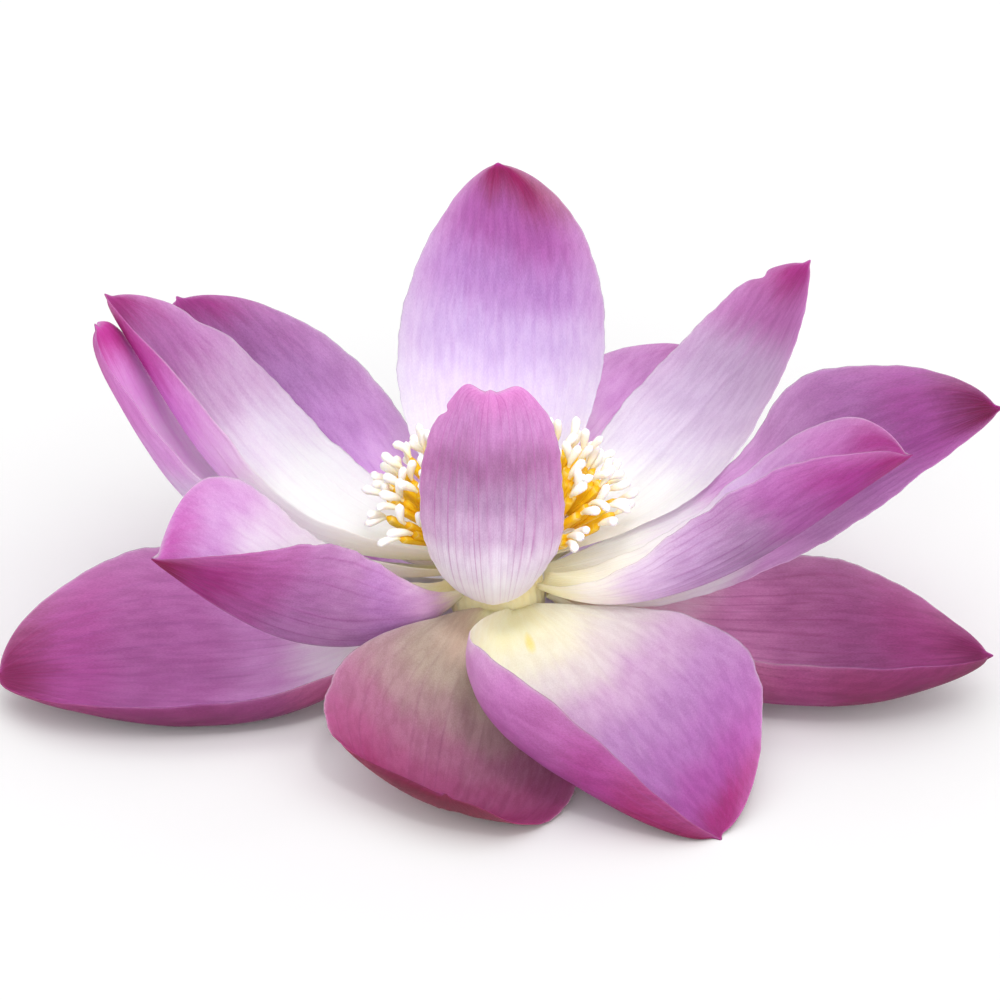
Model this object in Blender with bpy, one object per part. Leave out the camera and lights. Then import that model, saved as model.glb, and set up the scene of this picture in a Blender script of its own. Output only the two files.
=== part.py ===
"""Sacred lotus flower, picked with a short stub of stalk and resting on its lower petals.

Metres, +Z up, with z = 0 where the lowest petals touch the surface. The flower faces up and is
widest along X. Lengths below are in millimetres and angles in degrees, and MM turns them into metres.

Every petal is a thin shell around a midrib. The midrib leaves the receptacle in the direction
`azimuth` (0 is +X, 90 is +Y), and climbs or falls along its length by the angles in `rise`, evenly
spaced from base to tip. Seen from the base with the inner face up, `left` and `right` are the angles
through which each half of the blade curls upward by its rim, again from base to tip.
"""

import math
from collections import namedtuple

import bmesh
import bpy
import numpy as np

MM = 0.001
GAP = 0.3
SEAT_GAP = 0.5  # from the receptacle to the middle of a petal's base, which may stand tilted

# Where each whorl of petals is attached: distance from the flower's axis, and height.
Whorl = namedtuple("Whorl", "radius height")
INNER = Whorl(9.5, 31.0)
MIDDLE = Whorl(10.5, 28.0)
OUTER = Whorl(11.0, 25.0)
LOWEST = Whorl(11.0, 22.0)

# A petal is fleshy along its midrib and thin at its rim.
PETAL_THICKNESS = 0.9
RIM_SHARE = 0.45
CLAW_HALF_WIDTH = 5.0
CLAW_LENGTH_SHARE = 0.35
STATIONS_ALONG = 11
STATIONS_ACROSS = 8

PETAL_DEFAULTS = {
    "left": (40, 30, 30, 20),
    "right": (40, 30, 30, 20),
    "left_share": (1.0,),  # how wide each half is, against half the petal's width
    "right_share": (1.0,),
    "sweep_left": (0,),  # how far each rim leans towards the tip, against its distance out
    "sweep_right": (0,),
    "fold": (0,),  # angle at which both halves leave the midrib
    "roll": (0,),  # turn of the whole blade about its midrib
    "swerve": (0,),  # turn of the midrib away from azimuth
    "flat_right": 0.0,  # share of each half that stays flat before it curls
    "flat_left": 0.0,
    "broadest": 0.6,  # share of the length at which the blade is broadest
    "blunt": 0.5,  # below 0.5 the tip is rounder, above it more pointed
}

PETALS = {
    "petal_back": dict(
        whorl=MIDDLE, azimuth=90, length=103, width=50, rise=(20, 36, 50, 55),
        left=(50, 40, 30, 20), right=(50, 40, 30, 20), left_share=(1, 1.03, 1, 0.92, 0.8),
        right_share=(1, 1, 1.05, 1.1, 1.2), broadest=0.53, blunt=0.64),
    "petal_left_inner": dict(
        whorl=INNER, azimuth=151, length=112, width=50, rise=(-16, 2, 32, 52, 40),
        left=(70, 85, 100, 70), right=(50, 40, 35, 30), right_share=(1, 1, 1, 1, 0.95),
        broadest=0.56, blunt=0.62),
    "petal_left_under": dict(
        whorl=MIDDLE, azimuth=161.5, length=109, width=44, rise=(-14, 3, 28, 60, 64),
        left=(60, 90, 82, 50), right=(40, 5, -8, -38, -60), left_share=(1, 1, 1, 1, 1.6),
        right_share=(0.28, 0.34, 0.9, 1.4, 2.4), blunt=0.4),
    "petal_left_folded": dict(
        whorl=MIDDLE, azimuth=192, swerve=(34, 14, 2, 0, 0), length=78.5, width=50,
        rise=(-22, -6, 18, 37, 44), fold=(40, 45, 52, 55), left=(50, 75, 75, 45),
        right=(10, 10, 20, 10), left_share=(0.7, 1.25, 1.1, 0.75, 0.2),
        right_share=(1, 0.95, 1, 1.25), sweep_right=(0, 0, 0, 0.15, 0.3), broadest=0.68, blunt=0.4),
    "petal_back_left": dict(
        whorl=OUTER, azimuth=133, length=112, width=50, rise=(-14, 15, 34, 29),
        left_share=(0.4, 0.3, 0.4, 0.7), right_share=(1, 1.15, 1.15, 1.05), blunt=0.55),
    "petal_front_inner": dict(
        whorl=INNER, azimuth=-92.4, length=72, width=33, rise=(-5, 36, 85, 90, 92),
        left=(50, 50, 40, 30), right=(50, 50, 40, 30), left_share=(0.8, 0.8, 1, 1, 1.1),
        right_share=(0.9, 0.9, 1, 1, 0.95), broadest=0.6, blunt=0.36),
    "petal_right_inner": dict(
        whorl=INNER, azimuth=43, length=103, width=46, rise=(4, 22, 34, 43),
        left=(50, 50, 40, 30), right=(10, 25, 40, 30), left_share=(0.75, 0.75, 0.7, 0.68, 0.8),
        right_share=(1, 1.25, 1.1, 0.85, 0.4), blunt=0.6),
    "petal_back_right": dict(
        whorl=OUTER, azimuth=60, length=94, width=50, rise=(5, 13, 15, 13),
        left=(40, 40, 30, 30), right=(40, 40, 30, 30)),
    "petal_right_long": dict(
        whorl=MIDDLE, azimuth=10, length=109, width=47, rise=(-4, 20, 25, 12),
        roll=(-42, -38, -30), left=(20,), right=(20,),
        left_share=(0.4, 0.42, 0.46, 0.64, 1.06, 1.03, 0.97), right_share=(1, 0.7, 0.6, 0.45),
        broadest=0.56, blunt=0.6),
    "petal_right_folded": dict(
        whorl=MIDDLE, azimuth=-5, swerve=(-23, -6, 0, 0, 0), length=91, width=46,
        rise=(-11, 14, 31, 39, 38), fold=(20, 30, 35, 30), left=(30, 20, 10, 20),
        right=(60, 80, 80, 70), left_share=(0.9, 0.75, 0.77, 0.95, 1.25),
        right_share=(0.55, 0.72, 0.82, 0.85, 0.65)),
    "petal_right_lower": dict(
        whorl=OUTER, azimuth=-2, length=103, width=56, rise=(-33, -24, -3, 6, 5),
        roll=(-8, -15, -15), left=(40, 40, 40, 30), right=(100, 140, 130, 100), flat_right=0.3,
        left_share=(1, 1.1, 1.05, 1, 0.6), right_share=(1, 1, 1, 1.05, 0.9), blunt=0.6),
    "petal_front_right": dict(
        whorl=OUTER, azimuth=-55, length=73, width=62, rise=(-15, -22, -22, -13),
        roll=(3, 0), left=(30, 40, 40, 30), right=(60, 120, 165, 155), flat_right=0.45,
        left_share=(0.5, 0.95, 1.08, 0.92, 0.7), right_share=(1.2, 1.62, 1.5, 1.12, 0.9), broadest=0.53),
    "petal_front_left": dict(
        whorl=OUTER, azimuth=-99, length=66, width=59, rise=(-26, -35, -29, 0, 66),
        roll=(15, 10), left=(30, 30, 20, 0), right=(30,), left_share=(0.6, 0.86, 0.82, 0.58),
        right_share=(0.5, 1.13, 1.16, 1.05, 1), blunt=0.33),
    "petal_left_lower": dict(
        whorl=OUTER, azimuth=183, length=105, width=58, rise=(-37, -22, -4, 2, -3),
        roll=(8, 17, 14, 4), left=(60, 120, 100, 40), right=(50, 50, 60, 60), flat_left=0.5,
        left_share=(1, 1, 0.95, 0.8), right_share=(0.6, 0.9, 1.12, 0.95)),
    "petal_rear_right": dict(
        whorl=LOWEST, azimuth=64, length=90, width=44, rise=(-22, -22.5, -8, 3),
        left=(30, 30, 30, 20), right=(30, 30, 30, 20)),
    "petal_rear_left": dict(
        whorl=LOWEST, azimuth=116, length=92, width=44, rise=(-22, -22, -8, 3),
        left=(30, 30, 30, 20), right=(30, 30, 30, 20)),
}

# Receptacle: the torus that carries the petals, a neck, and the flat-topped cone above it, as
# (radius, height) from the bottom up.
RECEPTACLE_TOP = 50.0
RECEPTACLE_BOTTOM = 16.0
NECK_RADIUS = 8.0
RECEPTACLE_PROFILE = (
    (4.6, RECEPTACLE_BOTTOM),
    (8.2, 18.0),
    (10.0, 20.0),
    (LOWEST.radius - SEAT_GAP, LOWEST.height),
    (OUTER.radius - SEAT_GAP, OUTER.height),
    (MIDDLE.radius - SEAT_GAP, MIDDLE.height),
    (INNER.radius - SEAT_GAP, INNER.height),
    (NECK_RADIUS, 33.5),
    (NECK_RADIUS, 36.5),
    (8.8, 41.0),
    (10.4, 46.0),
    (11.4, 49.0),
    (11.0, RECEPTACLE_TOP),
)
ROUND_SEGMENTS = 32

# Stalk: a short cut stub below the receptacle.
STALK_RADIUS = 4.4
STALK_CUT_RADIUS = 4.8
STALK_CUT_HEIGHT = 3.5

# Stamens stand around the neck in tufts, each joined at its foot.
TUFTS = 6
TUFT_GAP_ANGLE = 3.0
TUFT_CELLS = 9
TUFT_FOOT_HEIGHT = 34.0
TUFT_FOOT_THICKNESS = 1.2
TUFT_RADII = (NECK_RADIUS + GAP, NECK_RADIUS + GAP + 1.0, NECK_RADIUS + GAP + 2.0)
# Growth of one stamen: (distance outward, distance upward, scale of its section), step by step.
STAMEN_STEPS = ((2.0, 6.5, 0.7), (6.5, 9.5, 1.0), (1.5, 1.2, 1.9), (4.5, 7.5, 1.0), (1.5, 2.5, 0.4))

PETAL_COLOUR = (0.60, 0.20, 0.42, 1.0)
RECEPTACLE_COLOUR = (0.62, 0.64, 0.16, 1.0)
STALK_COLOUR = (0.16, 0.28, 0.07, 1.0)
STAMEN_COLOUR = (0.85, 0.60, 0.08, 1.0)


def through(values, t):
    """A smooth curve through evenly spaced values, read at each t from 0 to 1."""
    points = np.asarray(values, float)
    if len(points) == 1:
        return np.full_like(t, points[0])
    place = np.clip(t, 0, 1) * (len(points) - 1)
    first = np.minimum(place.astype(int), len(points) - 2)
    part = place - first
    ends = (2 * points[0] - points[1], 2 * points[-1] - points[-2])
    padded = np.concatenate([[ends[0]], points, [ends[1]]])
    before, start, end, after = (padded[first + k] for k in range(4))
    slope = end - before
    bend = 2 * before - 5 * start + 4 * end - after
    twist = 3 * (start - end) + after - before
    return start + 0.5 * part * (slope + part * (bend + part * twist))


def half_width(s, petal):
    """Half the blade's width at each share s of its length: a claw, then a pointed oval."""
    broadest = petal["broadest"]
    blunt = petal["blunt"]
    narrowing = blunt * broadest / (1 - broadest)
    oval = (s / broadest) ** narrowing * ((1 - s) / (1 - broadest)) ** blunt
    claw = CLAW_HALF_WIDTH * np.clip(1 - s / CLAW_LENGTH_SHARE, 0, 1)
    return np.hypot(0.5 * petal["width"] * oval, claw)


def along_midrib(s, petal):
    """The midrib's points and, at each, its direction, the inner face's normal and the right side."""
    def headings(t):
        azimuth = np.radians(petal["azimuth"] + through(petal["swerve"], t))
        rise = np.radians(through(petal["rise"], t))
        return azimuth, rise

    fine = np.linspace(0, 1, 201)
    azimuth, rise = headings(fine)
    step = np.stack([np.cos(rise) * np.cos(azimuth), np.cos(rise) * np.sin(azimuth), np.sin(rise)], 1)
    lengths = (step[1:] + step[:-1]) / 2 * petal["length"] / (len(fine) - 1)
    path = np.concatenate([np.zeros((1, 3)), np.cumsum(lengths, 0)])
    whorl = petal["whorl"]
    root = (whorl.radius * math.cos(azimuth[0]), whorl.radius * math.sin(azimuth[0]), whorl.height)
    points = np.stack([np.interp(s, fine, path[:, k]) + root[k] for k in range(3)], 1)

    azimuth, rise = headings(s)
    forward = np.stack([np.cos(rise) * np.cos(azimuth), np.cos(rise) * np.sin(azimuth), np.sin(rise)], 1)
    inner = np.stack([-np.sin(rise) * np.cos(azimuth), -np.sin(rise) * np.sin(azimuth), np.cos(rise)], 1)
    right = np.cross(forward, inner)
    roll = np.radians(through(petal["roll"], s))[:, None]
    rolled_right = right * np.cos(roll) + inner * np.sin(roll)
    rolled_inner = inner * np.cos(roll) - right * np.sin(roll)
    return points, forward, rolled_inner, rolled_right


def petal_points(petal):
    """The blade's middle surface, as rows from base to tip of points from left to right."""
    s = np.sin(np.linspace(0, 1, STATIONS_ALONG + 1) * math.pi / 2)
    midrib, forward, inner, right = along_midrib(s, petal)
    width = half_width(s, petal)
    fold = np.radians(through(petal["fold"], s))
    columns = []
    for across in np.linspace(-1, 1, STATIONS_ACROSS + 1):
        side = "right" if across > 0 else "left"
        flat_share = petal["flat_" + side]
        flat = min(abs(across), flat_share)
        curled = abs(across) - flat
        curl = np.radians(through(petal[side], s)) / (1 - flat_share)
        half_turn = curl * curled / 2
        chord = curled * np.sinc(half_turn / math.pi)
        reach = width * through(petal[side + "_share"], s)
        sideways = reach * (flat * np.cos(fold) + chord * np.cos(fold + half_turn)) * np.sign(across)
        lifted = reach * (flat * np.sin(fold) + chord * np.sin(fold + half_turn))
        ahead = reach * through(petal["sweep_" + side], s) * across ** 2
        offsets = (right * sideways[:, None], inner * lifted[:, None], forward * ahead[:, None])
        columns.append(midrib + sum(offsets))
    return np.stack(columns, 1)


def material(name, colour, roughness):
    found = bpy.data.materials.new(name)
    found.use_nodes = True
    shader = found.node_tree.nodes["Principled BSDF"]
    shader.inputs["Base Color"].default_value = colour
    shader.inputs["Roughness"].default_value = roughness
    shader.inputs["Metallic"].default_value = 0.0
    return found


def add_object(name, bm, colour, roughness):
    """A named object from bm, facing out, with a material of its own."""
    bmesh.ops.recalc_face_normals(bm, faces=bm.faces)
    mesh = bpy.data.meshes.new(name)
    bm.to_mesh(mesh)
    bm.free()
    mesh.materials.append(material(name, colour, roughness))
    mesh.shade_smooth()
    obj = bpy.data.objects.new(name, mesh)
    bpy.context.scene.collection.objects.link(obj)
    return obj


def add_petal(name, shape):
    """One petal: its middle surface, given flesh on both sides."""
    petal = {**PETAL_DEFAULTS, **shape}
    points = petal_points(petal) * MM
    bm = bmesh.new()
    rows = [[bm.verts.new(point) for point in row] for row in points[:-1]]
    tip = bm.verts.new(points[-1, STATIONS_ACROSS // 2])
    for near, far in zip(rows, rows[1:]):
        for k in range(STATIONS_ACROSS):
            bm.faces.new((near[k], near[k + 1], far[k + 1], far[k]))
    for k in range(STATIONS_ACROSS):
        bm.faces.new((rows[-1][k], rows[-1][k + 1], tip))
    obj = add_object(name, bm, PETAL_COLOUR, 0.55)

    flesh = obj.vertex_groups.new(name="flesh")
    across = np.linspace(-1, 1, STATIONS_ACROSS + 1)
    for row in range(STATIONS_ALONG):
        for k, place in enumerate(across):
            flesh.add([row * (STATIONS_ACROSS + 1) + k], 1 - place * place, "REPLACE")
    solid = obj.modifiers.new("flesh", "SOLIDIFY")
    solid.thickness = PETAL_THICKNESS * MM
    solid.offset = 0.0
    solid.vertex_group = flesh.name
    solid.thickness_vertex_group = RIM_SHARE
    return obj


def add_turned(name, profile, colour, roughness):
    """A round piece about the flower's axis, from (radius, height) points, bottom to top."""
    bm = bmesh.new()
    rings = []
    for radius, height in profile:
        turns = [2 * math.pi * k / ROUND_SEGMENTS for k in range(ROUND_SEGMENTS)]
        ring = [
            bm.verts.new((radius * math.cos(a) * MM, radius * math.sin(a) * MM, height * MM))
            for a in turns
        ]
        rings.append(ring)
    for lower, upper in zip(rings, rings[1:]):
        for k in range(ROUND_SEGMENTS):
            after = (k + 1) % ROUND_SEGMENTS
            bm.faces.new((lower[k], lower[after], upper[after], upper[k]))
    bm.faces.new(rings[0])
    bm.faces.new(rings[-1])
    return add_object(name, bm, colour, roughness)


def grow_stamen(bm, face):
    """Extrude one stamen from a face of the foot: a filament, its anther and a small tip."""
    centre = face.calc_center_median()
    outward = centre.copy()
    outward.z = 0
    outward.normalize()
    for out, up, scale in STAMEN_STEPS:
        grown = bmesh.ops.extrude_discrete_faces(bm, faces=[face])
        face = grown["faces"][0]
        shift = outward * out * MM
        shift.z = up * MM
        bmesh.ops.translate(bm, vec=shift, verts=face.verts)
        middle = face.calc_center_median()
        for vert in face.verts:
            vert.co = middle + (vert.co - middle) * scale


def add_tuft(name, first_angle, last_angle):
    """Part of the ring of stamens: an arc of foot with stamens grown from it."""
    bm = bmesh.new()
    angles = np.radians(np.linspace(first_angle, last_angle, TUFT_CELLS + 1))
    heights = (TUFT_FOOT_HEIGHT, TUFT_FOOT_HEIGHT + TUFT_FOOT_THICKNESS)
    lower, upper = (
        [[bm.verts.new((r * math.cos(a) * MM, r * math.sin(a) * MM, z * MM)) for r in TUFT_RADII]
         for a in angles]
        for z in heights
    )
    cells = len(TUFT_RADII) - 1
    tops = []
    for i in range(TUFT_CELLS):
        for j in range(cells):
            bm.faces.new((lower[i][j], lower[i + 1][j], lower[i + 1][j + 1], lower[i][j + 1]))
            top = (upper[i][j], upper[i][j + 1], upper[i + 1][j + 1], upper[i + 1][j])
            tops.append((i + j, bm.faces.new(top)))
        for j in (0, cells):
            bm.faces.new((lower[i][j], lower[i + 1][j], upper[i + 1][j], upper[i][j]))
    for i in (0, TUFT_CELLS):
        for j in range(cells):
            bm.faces.new((lower[i][j], lower[i][j + 1], upper[i][j + 1], upper[i][j]))
    bmesh.ops.recalc_face_normals(bm, faces=bm.faces)
    for order, face in tops:
        if order % 2 == 0:
            grow_stamen(bm, face)
    return add_object(name, bm, STAMEN_COLOUR, 0.6)


def stand_on_origin():
    """Move every piece so that the origin is under the middle of the flower, on the surface."""
    graph = bpy.context.evaluated_depsgraph_get()
    corners = []
    for obj in bpy.data.objects:
        mesh = obj.evaluated_get(graph).data
        points = np.array([vert.co for vert in mesh.vertices])
        corners += [points.min(0), points.max(0)]
    low = np.min(corners, 0)
    high = np.max(corners, 0)
    middle = (low + high) / 2
    for obj in bpy.data.objects:
        obj.location = (-middle[0], -middle[1], -low[2])


def main():
    for obj in list(bpy.data.objects):
        bpy.data.objects.remove(obj)

    add_turned("receptacle", RECEPTACLE_PROFILE, RECEPTACLE_COLOUR, 0.6)
    stalk_top = RECEPTACLE_BOTTOM - GAP
    stalk_profile = ((STALK_CUT_RADIUS, STALK_CUT_HEIGHT), (STALK_RADIUS, stalk_top))
    add_turned("stalk", stalk_profile, STALK_COLOUR, 0.5)
    sector = 360 / TUFTS
    for k in range(TUFTS):
        first = k * sector + TUFT_GAP_ANGLE / 2
        add_tuft(f"stamens_{k + 1}", first, first + sector - TUFT_GAP_ANGLE)
    for name, shape in PETALS.items():
        add_petal(name, shape)
    stand_on_origin()


main()
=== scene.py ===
"""A picked sacred lotus, resting on its lower petals on a pale surface.

The tables are in millimetres and degrees, from the flower's axis and the surface it rests on; MM
turns them into metres. Every petal is a closed shell around a midrib. The midrib leaves the
receptacle in the direction `azimuth` (0 is +X, 90 is +Y), and climbs or falls along its length by
the angles in `rise`, evenly spaced from base to tip. Seen from the base with the inner face up,
`left` and `right` are the angles through which each half of the blade curls upward by its rim.
"""

import math
from collections import namedtuple

import bpy
import numpy as np
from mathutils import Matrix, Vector


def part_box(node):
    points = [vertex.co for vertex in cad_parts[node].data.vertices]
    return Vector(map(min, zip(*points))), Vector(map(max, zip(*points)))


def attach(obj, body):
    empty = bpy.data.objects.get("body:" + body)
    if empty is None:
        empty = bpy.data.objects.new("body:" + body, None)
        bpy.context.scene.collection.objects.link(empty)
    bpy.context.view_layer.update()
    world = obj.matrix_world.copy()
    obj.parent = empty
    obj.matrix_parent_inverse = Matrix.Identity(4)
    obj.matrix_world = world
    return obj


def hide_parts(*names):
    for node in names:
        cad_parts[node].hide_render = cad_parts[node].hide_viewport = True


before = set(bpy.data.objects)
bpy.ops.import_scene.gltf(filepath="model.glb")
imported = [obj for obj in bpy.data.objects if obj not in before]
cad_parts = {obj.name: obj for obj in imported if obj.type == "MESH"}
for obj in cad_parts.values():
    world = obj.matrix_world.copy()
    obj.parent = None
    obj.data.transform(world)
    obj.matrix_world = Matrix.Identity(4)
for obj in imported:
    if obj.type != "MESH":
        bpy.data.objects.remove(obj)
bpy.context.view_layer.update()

MM = 0.001

# Where each whorl of petals is attached: distance from the flower's axis, and height.
Whorl = namedtuple("Whorl", "radius height")
INNER = Whorl(9.5, 31.0)
MIDDLE = Whorl(10.5, 28.0)
OUTER = Whorl(11.0, 25.0)
LOWEST = Whorl(11.0, 22.0)

# A petal is fleshy along its midrib and thin at its rim.
THICKNESS_AT_MIDRIB = 0.85
THICKNESS_AT_RIM = 0.28
CLAW_HALF_WIDTH = 5.0
CLAW_LENGTH_SHARE = 0.35
STATIONS_ALONG = 96
STATIONS_ACROSS = 96
VEINS = 9
GROOVE_DEPTH = 0.45
GROOVE_SPREAD = 1.6
MUCRO_SPREAD = 0.8

PETAL_DEFAULTS = {
    "left": (40, 30, 30, 20),
    "right": (40, 30, 30, 20),
    "left_share": (1.0,),  # how wide each half is, against half the petal's width
    "right_share": (1.0,),
    "fold": (0,),  # angle at which both halves leave the midrib
    "roll": (0,),  # turn of the whole blade about its midrib
    "swerve": (0,),  # turn of the midrib away from azimuth
    "sweep_left": (0,),  # how far each rim leans towards the tip, against its distance out
    "sweep_right": (0,),
    "flat_right": 0.0,  # share of each half that stays flat before it curls
    "flat_left": 0.0,
    "broadest": 0.6,  # share of the length at which the blade is broadest
    "blunt": 0.5,  # below 0.5 the tip is rounder, above it more pointed
    "mucro": 1.3,  # length of the small point at the tip
    "nibble": 0.35,  # unevenness of the outline
    "ruffle": 0.7,  # how far the rim waves up and down
    "swell": 0.5,  # how far the whole blade undulates
    "dents": (),  # places where the outline steps in: side, share of length, spread, depth
    "lobes": (),  # places where the tip's outline bulges: distance right of the midrib, spread, height
    "creases": (),  # bumps on the inner face: share of length, across, spread, spread, height
}

PETALS = {
    "petal_back": dict(
        whorl=MIDDLE, azimuth=90, length=103, width=50, rise=(20, 36, 50, 55),
        left=(50, 40, 30, 20), right=(50, 40, 30, 20), left_share=(1, 1.03, 1, 0.92, 0.8),
        right_share=(1, 1, 1.05, 1.1, 1.2), broadest=0.53, blunt=0.64, mucro=0.4),
    "petal_left_inner": dict(
        whorl=INNER, azimuth=151, length=112, width=50, rise=(-16, 2, 32, 52, 40),
        left=(70, 85, 100, 70), right=(50, 40, 35, 30), right_share=(1, 1, 1, 1, 0.95),
        broadest=0.56, blunt=0.62, dents=(("right", 0.86, 0.03, 1.0),)),
    "petal_left_under": dict(
        whorl=MIDDLE, azimuth=161.5, length=109, width=44, rise=(-14, 3, 28, 60, 64),
        left=(60, 90, 82, 50), right=(40, 5, -8, -38, -60), left_share=(1, 1, 1, 1, 1.6),
        right_share=(0.28, 0.34, 0.9, 1.4, 2.4), blunt=0.4),
    "petal_left_folded": dict(
        whorl=MIDDLE, azimuth=192, swerve=(34, 14, 2, 0, 0), length=78.5, width=50,
        rise=(-22, -6, 18, 37, 44), fold=(40, 45, 52, 55), left=(50, 75, 75, 45),
        right=(10, 10, 20, 10), left_share=(0.7, 1.25, 1.1, 0.75, 0.2),
        right_share=(1, 0.95, 1, 1.25), sweep_right=(0, 0, 0, 0.15, 0.3), broadest=0.68, blunt=0.4),
    "petal_back_left": dict(
        whorl=OUTER, azimuth=133, length=112, width=50, rise=(-14, 15, 34, 29),
        left_share=(0.4, 0.3, 0.4, 0.7), right_share=(1, 1.15, 1.15, 1.05), blunt=0.55),
    "petal_front_inner": dict(
        whorl=INNER, azimuth=-92.4, length=72, width=33, rise=(-5, 36, 85, 90, 92),
        left=(50, 50, 40, 30), right=(50, 50, 40, 30), left_share=(0.8, 0.8, 1, 1, 1.1),
        right_share=(0.9, 0.9, 1, 1, 0.95), broadest=0.6, blunt=0.36, mucro=0.8,
        lobes=((-5.5, 3.2, 1.9), (5.5, 3.2, 2.3)), dents=(("right", 0.93, 0.012, 1.2),)),
    "petal_right_inner": dict(
        whorl=INNER, azimuth=43, length=103, width=46, rise=(4, 22, 34, 43),
        left=(50, 50, 40, 30), right=(10, 25, 40, 30), left_share=(0.75, 0.75, 0.7, 0.68, 0.8),
        right_share=(1.1, 1.28, 1.1, 0.85, 0.4), blunt=0.6, dents=(("left", 0.925, 0.015, 1.6),)),
    "petal_back_right": dict(
        whorl=OUTER, azimuth=60, length=94, width=50, rise=(5, 13, 15, 13),
        left=(40, 40, 30, 30), right=(40, 40, 30, 30)),
    "petal_right_long": dict(
        whorl=MIDDLE, azimuth=10, length=109, width=47, rise=(-4, 20, 25, 12),
        roll=(-42, -38, -30), left=(20,), right=(20,), left_share=(0.5, 0.52, 0.5, 0.64, 1.06, 1.03, 0.97),
        right_share=(1, 0.7, 0.6, 0.45), broadest=0.56, blunt=0.6),
    "petal_right_folded": dict(
        whorl=MIDDLE, azimuth=-5, swerve=(-23, -6, 0, 0, 0), length=91, width=46,
        rise=(-11, 14, 31, 39, 38), fold=(20, 30, 35, 30), left=(30, 20, 10, 20),
        right=(60, 80, 80, 70), left_share=(0.9, 0.75, 0.77, 0.95, 1.25),
        right_share=(0.55, 0.72, 0.82, 0.85, 0.65)),
    "petal_right_lower": dict(
        whorl=OUTER, azimuth=-2, length=103, width=56, rise=(-33, -24, -3, 6, 5),
        roll=(-8, -15, -15), left=(40, 40, 40, 30), right=(100, 140, 130, 100), flat_right=0.3,
        left_share=(1, 1.1, 1.05, 1, 0.6), right_share=(1, 1, 1, 1.05, 0.9), blunt=0.6),
    "petal_front_right": dict(
        whorl=OUTER, azimuth=-55, length=73, width=62, rise=(-15, -22, -22, -13),
        roll=(3, 0), left=(30, 40, 40, 30), right=(60, 120, 165, 155), flat_right=0.45,
        left_share=(0.5, 0.95, 1.08, 0.92, 0.7), right_share=(1.2, 1.62, 1.5, 1.12, 0.9), broadest=0.53),
    "petal_front_left": dict(
        whorl=OUTER, azimuth=-99, length=66, width=59, rise=(-26, -35, -29, 0, 66),
        roll=(15, 10), left=(30, 30, 20, 0), right=(30,), left_share=(0.6, 0.86, 0.82, 0.58),
        right_share=(0.5, 1.13, 1.16, 1.05, 1), blunt=0.33,
        creases=((0.8, 0.11, 0.05, 0.045, -0.9), (0.78, -0.28, 0.06, 0.05, -1.1),
                 (0.84, -0.09, 0.045, 0.13, 0.8))),
    "petal_left_lower": dict(
        whorl=OUTER, azimuth=183, length=105, width=58, rise=(-37, -22, -4, 2, -3),
        roll=(8, 17, 14, 4), left=(60, 120, 100, 40), right=(50, 50, 60, 60), flat_left=0.5,
        left_share=(1, 1, 0.95, 0.8), right_share=(0.6, 0.9, 1.12, 0.95)),
    "petal_rear_right": dict(
        whorl=LOWEST, azimuth=64, length=90, width=44, rise=(-22, -22.5, -8, 3),
        left=(30, 30, 30, 20), right=(30, 30, 30, 20)),
    "petal_rear_left": dict(
        whorl=LOWEST, azimuth=116, length=92, width=44, rise=(-22, -22, -8, 3),
        left=(30, 30, 30, 20), right=(30, 30, 30, 20)),
}

RECEPTACLE_BOTTOM = 16.0


def flower_origin():
    """The foot of the flower's axis, on the surface, in the row frame."""
    low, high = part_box("receptacle")
    middle = (low + high) / 2
    return np.array([middle.x, middle.y, low.z - RECEPTACLE_BOTTOM * MM])


ORIGIN = flower_origin()


# ---------------------------------------------------------------------------------------------
# Shapes


def through(values, t):
    """A smooth curve through evenly spaced values, read at each t from 0 to 1."""
    points = np.asarray(values, float)
    if len(points) == 1:
        return np.full_like(t, points[0])
    place = np.clip(t, 0, 1) * (len(points) - 1)
    first = np.minimum(place.astype(int), len(points) - 2)
    part = place - first
    ends = (2 * points[0] - points[1], 2 * points[-1] - points[-2])
    padded = np.concatenate([[ends[0]], points, [ends[1]]])
    before, start, end, after = (padded[first + k] for k in range(4))
    slope = end - before
    bend = 2 * before - 5 * start + 4 * end - after
    twist = 3 * (start - end) + after - before
    return start + 0.5 * part * (slope + part * (bend + part * twist))


def half_width(s, petal):
    """Half the blade's width at each share s of its length: a claw, then a pointed oval."""
    broadest = petal["broadest"]
    blunt = petal["blunt"]
    narrowing = blunt * broadest / (1 - broadest)
    oval = (s / broadest) ** narrowing * ((1 - s) / (1 - broadest)) ** blunt
    claw = CLAW_HALF_WIDTH * np.clip(1 - s / CLAW_LENGTH_SHARE, 0, 1)
    return np.hypot(0.5 * petal["width"] * oval, claw)


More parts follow.
